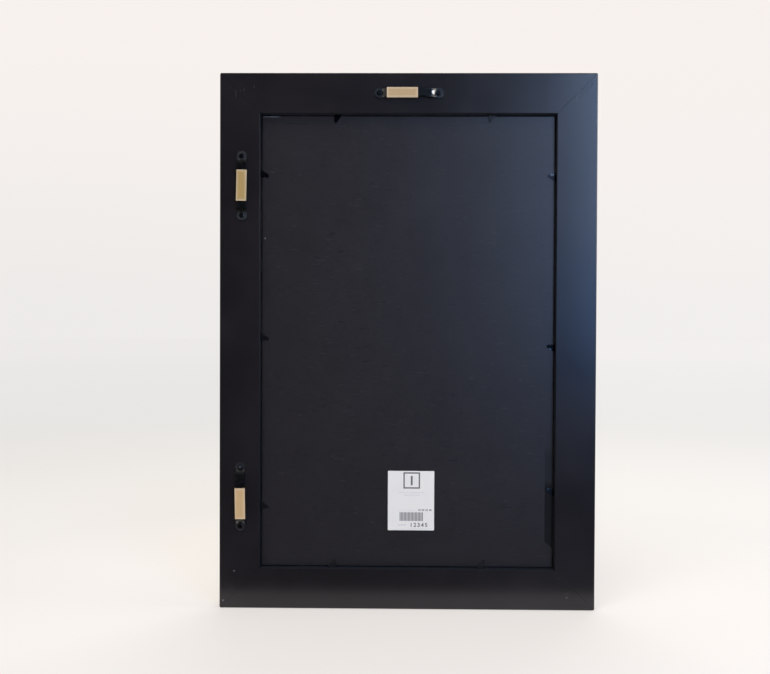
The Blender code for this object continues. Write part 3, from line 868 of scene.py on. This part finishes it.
# Black covering paper with short fibres that lie mostly across the board
def makeBlackPaper():
    material, place, shader = newMaterial("blackCoveringPaper")
    x, y, z = place.axes()
    cloud = place.noise(22, 4.0, 0.55)
    weave = place.noise((260, 900, 1900), 3.0, 0.6)
    speckle = place.noise(900, 2.0, 0.6)
    light = place.noise((105, 400, 820), 2.0, 0.5).rise(0.655, 0.735)
    deep = place.noise((120, 400, 760), 2.0, 0.5, offset=(5.2, 1.1, 7.7)).rise(0.635, 0.715)
    mottle = 0.45 * cloud + 0.35 * weave + 0.2 * speckle
    colour = mottle.between(scaled(backing['charcoal'], 0.62), scaled(backing['charcoal'], 1.38))
    colour = colour.toward(backing['fibre'], light * 0.6)
    colour = colour.toward(backing['shadow'], deep * 0.85)
    # painted shadow of the right wall on the board's lower right
    strip = stripMask(x, z)
    colour = colour.toward(backing['shadow'], strip * 0.85)
    colour = colour.toward(backing['worn'], wornMask(place, x, z))
    colour = colour.toward(backing['fleckColour'], spotMask(x, z, *backing['fleck']))
    roughness = backing['roughness'] + 0.05 * (cloud - 0.5) + 0.07 * (weave - 0.5)
    height = 0.5 * weave + 0.8 * light - 0.6 * deep + 0.25 * speckle
    setSockets(shader, color=colour, roughness=roughness, specular=backing['specular'],
               normal=height.bump(0.05 * mm, 0.5))
    # the painted shadow is also dulled, taking away the sheen there
    dullWhere(shader, colour, 0.15, strip * 0.8)
    return material


# Each sheet's piece, the width and segments of its arris, its slot and what makes its material
sheets = {
    'glazing_sheet': ("glazing", 0.35 * mm, 2, "clear_glazing", makeGlass),
    'insert_sheet': ("insert_paper", 0.05 * mm, 1, "plain_paper", makeInsertPaper),
    'filler_board': ("filler", 0.20 * mm, 2, "grey_board", makeGreyBoard),
    'backing_board': ("backing", 0.45 * mm, 4, "black_paper_board", makeBlackPaper),
}


def modelSheet(node, name, arris, segments):
    low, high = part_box(node)
    sheet = block(name, low, high)
    editOn(sheet)
    pick(sheet, 'EDGE', lambda e: spread(1, e) > 0.5 * (high.y - low.y))
    roundPicked(2 * arris, 3)
    pick(sheet, 'EDGE', lambda e: edgeAt(e, y=low.y) or edgeAt(e, y=high.y))
    roundPicked(min(arris, 0.3 * (high.y - low.y)), segments)
    editOff()
    finishShading(sheet)
    return sheet


for node, (name, arris, segments, slot, makeMaterial) in sheets.items():
    seat(modelSheet(node, name, arris, segments), "frame", makeMaterial(), slot, node)


print("Label and its print")

label = {
    'white': (0.660, 0.623, 0.565),
    'cornerRadius': 0.6 * mm,
    'lift': 0.22 * mm,                   # how far its left edge has come away
    'liftWidth': 0.6 * mm,
    'liftReach': 7 * mm,
    'ink': (0.105, 0.10, 0.095),
    'bold': 0.022,                       # how far the numbers' outlines swell, as a share of their height
    'paleInk': (0.530, 0.507, 0.480),
    'inkThickness': 0.012 * mm,
}

# Plain ruled print. Each rule is its left, bottom, width and height in mm from the label's middle.
darkRules = [
    (-7.4, 11.6, 16.0, 1.3),
    (-7.4, 26.0, 16.0, 1.3),
    (-7.4, 12.9, 1.3, 13.1),
    (7.3, 12.9, 1.3, 13.1),
]
darkRules += [(-10.9 + 1.34 * bar, -19.6, 0.82, 8.4) for bar in range(17)]
paleRules = [
    (-12.0, 7.1, 25.0, 1.1),
    (-6.8, 4.8, 15.5, 1.0),
    (-18.0, -9.4, 21.5, 0.45),
    (-13.4, -24.2, 9.2, 1.5),
    (-1.0, -27.2, 19.5, 0.3),
]
# Rows of plain numbers: first, step, how many, left, bottom, pitch and height of the figures in mm
numberRows = [
    (1, 1, 5, 0.2, -25.2, 3.6, 5.4),
    (10, 10, 4, 8.0, -9.9, 3.5, 2.6),
    (1, 1, 1, 0.6, 15.1, 0, 12.5),
]


def makeLabelPaper():
    material, place, shader = newMaterial("labelPaper")
    tooth = place.noise(1600, 3.0, 0.6)
    cloud = place.noise(60, 3.0, 0.5)
    mottle = 0.5 * tooth + 0.5 * cloud
    colour = mottle.between(scaled(label['white'], 0.95), scaled(label['white'], 1.03))
    setSockets(shader, color=colour, roughness=0.52 + 0.08 * (cloud - 0.5), specular=0.4,
               normal=tooth.bump(0.01 * mm, 0.35))
    return material


def makeInk(name, colour):
    material, place, shader = newMaterial(name)
    thin = place.noise(2600, 2.0, 0.6)
    shade = thin.rise(0.5, 0.8).between(colour, scaled(colour, 2.0))
    setSockets(shader, color=shade, roughness=0.55, specular=0.4)
    return material


def modelLabel():
    low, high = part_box("back_label")
    paper = block("label_paper", low, high)
    editOn(paper)
    pick(paper, 'EDGE', lambda e: spread(1, e) > 0.5 * (high.y - low.y))
    roundPicked(label['cornerRadius'], 5)
    cutAcross(low, high, 0, [step / 8 for step in range(1, 8)])
    pick(paper, 'VERT', lambda v: v.co.x < low.x + label['liftWidth'])
    bpy.ops.transform.translate(value=(0, -label['lift'], 0), use_proportional_edit=True,
                                proportional_edit_falloff='SMOOTH', proportional_size=label['liftReach'])
    editOff()
    finishShading(paper)
    return paper


def ruleBlocks(rules, middle, face):
    made = []
    for left, bottom, width, height in rules:
        low = (middle.x + left * mm, face - label['inkThickness'], middle.z + bottom * mm)
        high = (low[0] + width * mm, face + 0.3 * label['inkThickness'], low[2] + height * mm)
        made.append(block("rule", low, high))
    return made


def numberMeshes(middle, face):
    made = []
    for first, step, count, left, bottom, pitch, size in numberRows:
        for index in range(count):
            clearPicks()
            bpy.ops.object.text_add(location=(0, 0, 0))
            text = bpy.context.object
            text.data.body = str(first + step * index)
            text.data.size = size * mm
            text.data.offset = label['bold'] * size * mm
            text.data.align_x = 'CENTER'
            text.data.extrude = label['inkThickness'] / 2
            bpy.ops.object.convert(target='MESH')
            text = bpy.context.object
            across = middle.x + (left + index * pitch) * mm
            place = Matrix.Translation((across, face - label['inkThickness'] / 2, middle.z + bottom * mm))
            text.data.transform(place @ Matrix.Rotation(math.pi / 2, 4, 'X'))
            made.append(text)
    return made


labelLow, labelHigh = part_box("back_label")
labelMiddle = (labelLow + labelHigh) / 2
paper = modelLabel()
seat(paper, "frame", makeLabelPaper(), "white_label_paper", "back_label")
darkPrint = joinAll(ruleBlocks(darkRules, labelMiddle, labelLow.y) + numberMeshes(labelMiddle, labelLow.y))
darkPrint.name = "label_print_dark"
seat(darkPrint, "frame", makeInk("printInk", label['ink']), None)
palePrint = joinAll(ruleBlocks(paleRules, labelMiddle, labelLow.y))
palePrint.name = "label_print_pale"
seat(palePrint, "frame", makeInk("palePrintInk", label['paleInk']), None)


print("Hangers, screws and sleeves")

hanger = {
    'bridgeWidth': 8.1 * mm,
    'padRadius': 4.8 * mm,
    'thickness': 0.8 * mm,
    'rise': 2.6 * mm,
    'bendSetback': 0.2475 * mm,
    'bridge': 43.2 * mm,
    'joggle': 3.8 * mm,
    'teeth': 14,
    'toothPitch': 2.4 * mm,
    'toothDepth': 1.9 * mm,
    'holeFromMiddle': 28.1475 * mm,
    'holeRadius': 1.6 * mm,
    'cutLength': 6 * mm,
    'padProud': 0.7 * mm,
    'burr': 0.29 * mm,
    'shadedBridgeSteel': (0.045, 0.0445, 0.044),
    # bare steel, for worn edges and scratches, and for painted glints and rim highlights
    'wornSteelAndGlint': (0.60, 0.59, 0.58),
    'awayFade': (1.0 * mm, 2.8 * mm),
    'roughness': 0.26,
    'metallic': 0.95,
}

screw = {
    'headRadius': 2.4 * mm,
    'headHeight': 1.3 * mm,
    'headRound': 0.806 * mm,
    'shankRadius': 1.1 * mm,
    'length': 11.5 * mm,
    'tip': 2.6 * mm,
    'slotLength': 2.7 * mm,
    'slotWidth': 0.62 * mm,
    'slotDepth': 0.85 * mm,
    'slotTaper': 0.72,
    'cutOver': 0.2 * mm,
    'headSeat': 1.4 * mm,
    'pitch': 1.25 * mm,
    'thread': 0.42 * mm,
    'threadFlat': 0.62,
    'threadFrom': 2.2 * mm,
    'threadShort': 3.0 * mm,             # the thread is this much shorter than the straight shank
    'steel': (0.030, 0.030, 0.029),
    'roughness': 0.34,
}

sleeve = {
    'foldRadius': 0.6 * mm,
    'wall': 0.45 * mm,
    'lap': 0.25 * mm,
    'ragged': 0.05 * mm,
    'softEdge': 0.05 * mm,
    'creases': (0.12, 0.30, 0.50, 0.68, 0.88),
    'lapFrom': 0.30,                     # the lap lies between these shares of the width
    'lapTo': 0.88,
    'rimWidth': 2.2 * mm,
    'rimFade': (-0.5 * mm, 2.0 * mm),
}

# Each hanger's side and screws, its sleeve's card, that card's cut edge, the sleeve's lean in degrees and the
# steel of its pads, whose shade is painted light, set hanger by hanger
hangers = {
    'top': {'side': 'top', 'screws': ("right", "left"),
            'card': (0.378, 0.254, 0.132), 'edge': (0.47, 0.355, 0.225), 'lean': 0.0,
            'steel': (0.110, 0.108, 0.105)},
    'upper': {'side': 'left', 'screws': ("high", "low"),
              'card': (0.325, 0.207, 0.070), 'edge': (0.42, 0.325, 0.200), 'lean': 1.1,
              'steel': (0.220, 0.216, 0.210)},
    'lower': {'side': 'left', 'screws': ("high", "low"),
              'card': (0.455, 0.298, 0.138), 'edge': (0.52, 0.375, 0.230), 'lean': -0.9,
              'steel': (0.180, 0.176, 0.170)},
}


# Painted glints on the steel, where the lamps' light would catch it: across, height, radius in mm, strength
paintedGlints = [
    (-159.2, 135.8, 1.5, 1.0),
    (23.8, 492.2, 2.3, 0.9),
    (136.6, 415.8, 0.8, 0.18),
    (138.4, 415.6, 0.8, 0.18),
    (136.7, 249.6, 0.8, 0.40),
    (135.7, 115.0, 0.6, 0.25),
]


# Black coated steel: its coat worn and lit as a painted highlight on the rims a piece marks, painted glints
# at set spots, and darker away from the frame's back as painted shade
def makeBlackSteel(name, colour, outer, roughness, metallic):
    material, place, shader = newMaterial(name)
    cloud = place.noise(160, 4.0, 0.6)
    scratch = place.noise((900, 2400, 5200), 2.0, 0.7)
    fine = place.noise(5200, 2.0, 0.6)
    x, y, z = place.axes()
    # painted shade: the raised bridge is darker than the pads by the back
    away = (backPlane - y).rise(*hanger['awayFade'])
    shade = away.between(colour, outer).shaded(0.85 + 0.5 * cloud.rise(0.35, 0.75))
    shade = shade.toward(hanger['wornSteelAndGlint'], scratch.rise(0.74, 0.82) * 0.35)
    wear = place.node('ShaderNodeAttribute', {'attribute_name': "wear"}, output=2)
    # worn coat and painted highlight on the marked rims
    shade = shade.toward(hanger['wornSteelAndGlint'], wear * cloud.rise(0.20, 0.5) * 0.8)
    # painted glints
    for across, height, radius, strength in paintedGlints:
        shade = shade.toward(hanger['wornSteelAndGlint'], spotMask(x, z, across, height, radius) * strength)
    rough = roughness + 0.14 * (cloud - 0.5) + 0.10 * (fine - 0.5)
    setSockets(shader, color=shade, roughness=rough, metallic=metallic - 0.15 * wear, specular=0.5,
               normal=(0.6 * fine + 0.4 * scratch).bump(0.008 * mm, 0.6))
    return material


def modelHanger():
    half = hanger['bridgeWidth'] / 2
    toothed = hanger['teeth'] * hanger['toothPitch'] / 2
    size = (2 * toothed, hanger['bridgeWidth'], 1)
    plate = addShape(bpy.ops.mesh.primitive_grid_add, "hanger_pattern", size, (math.pi / 2, 0, 0),
                     x_subdivisions=2 * hanger['teeth'], y_subdivisions=2, size=1)
    editOn(plate)

    def isValley(vertex):
        step = round((vertex.co.x + toothed) / (hanger['toothPitch'] / 2))
        return near(vertex.co.z, half) and step % 2 == 1

    pick(plate, 'VERT', isValley)
    shift((0, 0, -hanger['toothDepth']))
    shoulder = hanger['bridge'] / 2
    foot = shoulder + hanger['joggle']
    end = hanger['holeFromMiddle']
    for side in (-1, 1):
        reached = toothed
        for station in (shoulder, foot, end):
            pick(plate, 'EDGE', lambda e: edgeAt(e, x=side * reached))
            extrude((side * (station - reached), 0, 0))
            reached = station
    pick(plate, 'VERT', lambda v: abs(v.co.x) < shoulder or near(abs(v.co.x), shoulder))
    shift((0, -hanger['rise'], 0))
    pick(plate, 'EDGE', lambda e: edgeAt(e, x=e.verts[0].co.x) and (
        near(abs(e.verts[0].co.x), shoulder) or near(abs(e.verts[0].co.x), foot)))
    roundPicked(hanger['bendSetback'], 6)
    editOff()
    closeUp(plate)
    useModifier(plate, 'SOLIDIFY', thickness=hanger['thickness'], offset=0.0)
    for side in (-1, 1):
        pad = rod("pad", hanger['padRadius'], hanger['thickness'], (side * end, 0, 0), 56)
        useModifier(plate, 'BOOLEAN', operation='UNION', solver='EXACT', object=pad)
        throwAway(pad)
    hole = (hanger['holeRadius'], hanger['cutLength'])
    cutOut(plate, [rod("hole", *hole, (side * end, 0, 0), 32) for side in (-1, 1)])
    closeUp(plate)
    editOn(plate)
    bpy.ops.mesh.select_all(action='SELECT')
    bpy.ops.mesh.dissolve_limited(angle_limit=math.radians(0.5))
    editOff()
    for coat in ("plain", "worn"):
        plate.data.materials.append(bpy.data.materials.new(coat))
    softenSharp(plate, hanger['burr'], 2, 38, use_clamp_overlap=True, material=1)
    # the bevelled rims are marked for worn coat and a painted highlight
    wear = plate.data.attributes.new("wear", 'FLOAT', 'FACE')
    for face in plate.data.polygons:
        wear.data[face.index].value = float(face.material_index == 1)
        face.material_index = 0
    finishShading(plate)
    return plate


# The head's underside lies in the plane y = 0 and the head stands towards -Y
def modelScrew():
    face = -screw['headHeight']
    piece = rod("screw_pattern", screw['headRadius'], screw['headHeight'], (0, face / 2, 0), 32)
    editOn(piece)
    pick(piece, 'EDGE', lambda e: edgeAt(e, y=face))
    roundPicked(screw['headRound'], 7)
    pick(piece, 'FACE', lambda f: f.normal.y > 0.9 and near(f.calc_center_median().y, 0))
    bpy.ops.mesh.inset(thickness=screw['headRadius'] - screw['shankRadius'])
    extrude((0, screw['length'] - screw['tip'], 0))
    extrude((0, screw['tip'], 0))
    bpy.ops.mesh.merge(type='CENTER')
    editOff()
    slots = []
    long, thin = screw['slotLength'] / 2, screw['slotWidth'] / 2
    for x, z in ((long, thin), (thin, long)):
        slot = block("slot", (-x, face - screw['cutOver'], -z), (x, face + screw['slotDepth'], z))
        editOn(slot)
        pick(slot, 'FACE', lambda f: f.normal.y > 0.9)
        bpy.ops.transform.resize(value=(screw['slotTaper'], 1, screw['slotTaper']))
        editOff()
        slots.append(slot)
    cutOut(piece, slots)
    finishShading(piece, 30)
    return piece


# A coil ridge round the shank
def modelThread():
    ridge = addShape(bpy.ops.mesh.primitive_circle_add, "thread_pattern", (1, screw['threadFlat'], 1),
                     (0, 0, -math.pi / 2), vertices=3, radius=screw['thread'], fill_type='NOTHING')
    ridge.data.transform(Matrix.Translation((screw['shankRadius'], screw['threadFrom'], 0)))
    turns = int((screw['length'] - screw['tip'] - screw['threadShort']) / screw['pitch'])
    useModifier(ridge, 'SCREW', axis='Y', angle=2 * math.pi, screw_offset=screw['pitch'], iterations=turns,
                steps=20, render_steps=20, use_merge_vertices=False)
    editOn(ridge)
    bpy.ops.mesh.select_mode(type='EDGE')
    bpy.ops.mesh.select_all(action='DESELECT')
    bpy.ops.mesh.select_non_manifold(extend=False)
    bpy.ops.mesh.edge_face_add()
    editOff()
    closeUp(ridge)
    return ridge


def makeCard(name, plain, edge, low, high):
    material, place, shader = newMaterial(name)
    x, y, z = place.axes()
    fibre = place.noise((700, 700, 220), 4.0, 0.65)
    cloud = place.noise(130, 3.0, 0.55)
    fleck = place.noise((1500, 1500, 600), 2.0, 0.6)
    colour = (0.5 * fibre + 0.5 * cloud).between(scaled(plain, 0.86), scaled(plain, 1.12))
    middle = (low + high) / 2
    half = (high - low) / 2
    rimX = abs(x - middle.x) - (half.x - sleeve['rimWidth'])
    rimZ = abs(z - middle.z) - (half.z - sleeve['rimWidth'])
    colour = colour.toward(edge, rimX.larger(rimZ).rise(*sleeve['rimFade']) * 0.9)
    colour = colour.toward(scaled(plain, 0.55), fleck.rise(0.66, 0.78) * 0.45)
    setSockets(shader, color=colour, roughness=0.74 + 0.1 * (fibre - 0.5), specular=0.35,
               normal=(0.6 * fibre + 0.4 * fleck).bump(0.04 * mm, 0.55))
    return material


# A strip of card folded round the bridge, its lap glued on the side towards the rail
def modelSleeve(name):
    low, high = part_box("hanger_sleeve_" + name)
    long = 0 if high.x - low.x > high.z - low.z else 2
    wide = 2 - long
    tube = block("card_sleeve_" + name, low + Vector((0, sleeve['ragged'], 0)), high)
    editOn(tube)
    pick(tube, 'FACE', lambda f: abs(f.normal[long]) > 0.9)
    bpy.ops.mesh.delete(type='FACE')
    pick(tube, 'EDGE', lambda e: spread(long, e) > (high[long] - low[long]) / 2)
    roundPicked(sleeve['foldRadius'], 4)
    cutAcross(low, high, long, [step / 10 for step in range(1, 10)])
    cutAcross(low, high, wide, sleeve['creases'])
    editOff()
    useModifier(tube, 'SOLIDIFY', thickness=sleeve['wall'], offset=-1.0)
    editOn(tube)

    def onLap(face):
        centre = face.calc_center_median()
        share = (centre[wide] - low[wide]) / (high[wide] - low[wide])
        behind = face.normal.y > 0.9 and centre.y > (low.y + high.y) / 2
        return behind and sleeve['lapFrom'] < share < sleeve['lapTo']

    pick(tube, 'FACE', onLap)
    extrude((0, sleeve['lap'], 0))
    pick(tube, 'VERT', lambda v: near(v.co[long], low[long]) or near(v.co[long], high[long]))
    bpy.ops.transform.vertex_random(offset=sleeve['ragged'], uniform=1.0, normal=0.0, seed=len(name))
    editOff()
    softenSharp(tube, sleeve['softEdge'], 1, 50)
    finishShading(tube, 40)
    middle = (low + high) / 2
    lean = Matrix.Rotation(math.radians(hangers[name]['lean']), 4, 'Y')
    tube.data.transform(Matrix.Translation(middle) @ lean @ Matrix.Translation(-middle))
    return tube


screwSteel = makeBlackSteel("blackScrewSteel", screw['steel'], screw['steel'], screw['roughness'], 1.0)
hangerPattern = modelHanger()
screwPattern = modelScrew()
threadPattern = modelThread()
for name, values in hangers.items():
    low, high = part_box("hanger_" + name)
    middle = (low + high) / 2
    place = Matrix.Translation((middle.x, backPlane - hanger['padProud'], middle.z))
    plate = copyTo(hangerPattern, "hanger_plate_" + name, place @ sideTurn(values['side']))
    steel = makeBlackSteel("blackHangerSteel_" + name, values['steel'], hanger['shadedBridgeSteel'],
                           hanger['roughness'], hanger['metallic'])
    seat(plate, "frame", steel, "black_hanger_steel", "hanger_" + name)
    for index, which in enumerate(values['screws']):
        node = "hanger_screw_" + name + "_" + which
        screwLow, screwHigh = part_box(node)
        head = (screwLow + screwHigh) / 2
        # every screw was left at an angle of its own
        spin = Matrix.Rotation(math.radians(23 + 31 * index + 17 * len(name)), 4, 'Y')
        place = Matrix.Translation((head.x, backPlane - screw['headSeat'], head.z)) @ spin
        parts = [copyTo(screwPattern, "pan_screw_" + name + "_" + which, place),
                 copyTo(threadPattern, "thread_copy", place)]
        seat(joinAll(parts), "frame", screwSteel, "black_screw_steel", node)
    low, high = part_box("hanger_sleeve_" + name)
    card = makeCard("tanCard_" + name, values['card'], values['edge'], low, high)
    seat(modelSleeve(name), "sleeve_" + name, card, "tan_card", "hanger_sleeve_" + name)
for pattern in (hangerPattern, screwPattern, threadPattern):
    throwAway(pattern)


print("Points")

point = {
    'thickness': 0.4 * mm,
    'reach': 7.85 * mm,
    'straightSide': 1.5 * mm,
    'slantedSide': 5.7 * mm,
    'tipRadius': 1.5 * mm,
    'slantedTip': 0.833 * mm,
    'burr': 0.07 * mm,
    'edgeShares': (0.2, 0.4, 0.6, 0.8),
    'steel': (0.038, 0.038, 0.039),
    'tint': (1.03, 0.95, 1.0),
    'roughness': 0.27,
}

# How far each tongue's tip is bent up in mm, how pale its steel is painted and how bare (metallic) it is,
# both set tongue by tongue as painted light and shade
tongues = {
    'bottom_a': (0.25, 0.0140, 0.2),
    'bottom_b': (0.35, 0.0140, 0.2),
    'left_a': (0.15, 0.0380, 1.0),
    'left_b': (0.10, 0.0062, 0.2),
    'left_c': (0.25, 0.0065, 0.2),
    'top_a': (0.20, 0.0120, 0.2),
    'top_b': (0.40, 0.0170, 1.0),
    'right_a': (0.45, 0.0450, 1.0),
    'right_b': (0.15, 0.0080, 1.0),
    'right_c': (0.30, 0.0130, 1.0),
}


# A flat tongue that points up from its hinge, with one straight and one slanted edge
def modelTongue(lift):
    width = point['straightSide'] + point['slantedSide']
    middle = point['reach'] / 2
    tongue = addShape(bpy.ops.mesh.primitive_plane_add, "tongue_pattern", (width, point['reach'], 1),
                      (math.pi / 2, 0, 0), size=1)
    tongue.data.transform(Matrix.Translation((point['straightSide'] - width / 2, 0, middle)))
    editOn(tongue)
    pick(tongue, 'VERT', lambda v: v.co.z > middle and v.co.x < 0)
    shift((point['slantedSide'] - point['slantedTip'], 0, 0))
    # both roundings stop a hair short of full, so that no two corners meet
    pick(tongue, 'VERT', lambda v: v.co.z > middle and v.co.x > 0)
    roundPicked(point['tipRadius'] * 0.999, 8, 'VERTICES')
    pick(tongue, 'VERT', lambda v: near(v.co.x, -point['slantedTip']) and near(v.co.z, point['reach']))
    roundPicked(point['slantedTip'] * 0.99, 5, 'VERTICES')
    cutAcross(Vector(), Vector((0, 0, point['reach'])), 2, point['edgeShares'])
    editOff()
    for vertex in tongue.data.vertices:
        vertex.co.y -= lift * mm * (vertex.co.z / point['reach']) ** 2
    closeUp(tongue)
    useModifier(tongue, 'SOLIDIFY', thickness=point['thickness'], offset=0.0)
    softenSharp(tongue, point['burr'], 2, 40)
    finishShading(tongue)
    return tongue


pointSteel = makeBlackSteel("blackPointSteel", point['steel'], point['steel'], point['roughness'], 1.0)
for name, (lift, pale, bare) in tongues.items():
    joint = next(j for j in frame['joints'] if j['name'] == "bend_point_" + name)
    tongue = modelTongue(lift)
    tongue.data.transform(Matrix.Translation(joint['pos_m']) @ sideTurn(name.split("_")[0]))
    tongue.name = "tongue_" + name
    # each tongue's steel is a copy painted lighter or darker, as painted light and shade
    shade = scaled(point['tint'], pale)
    steel = makeBlackSteel("blackPointSteel_" + name, shade, shade, point['roughness'], bare)
    seat(tongue, "tongue_" + name, steel, "black_point_steel", "point_tongue_" + name)


print("Steel inside the wood")

nail = {
    'steel': (0.42, 0.42, 0.43),
    'roughness': 0.34,
}

nailSteel = makeBlackSteel("nailSteel", nail['steel'], nail['steel'], nail['roughness'], 1.0)
for name, node in frame['nodes'].items():
    if name.startswith("corner_nail_"):
        dress(node, nailSteel)
    if name.startswith("point_root_"):
        dress(node, pointSteel)

print("Finished")
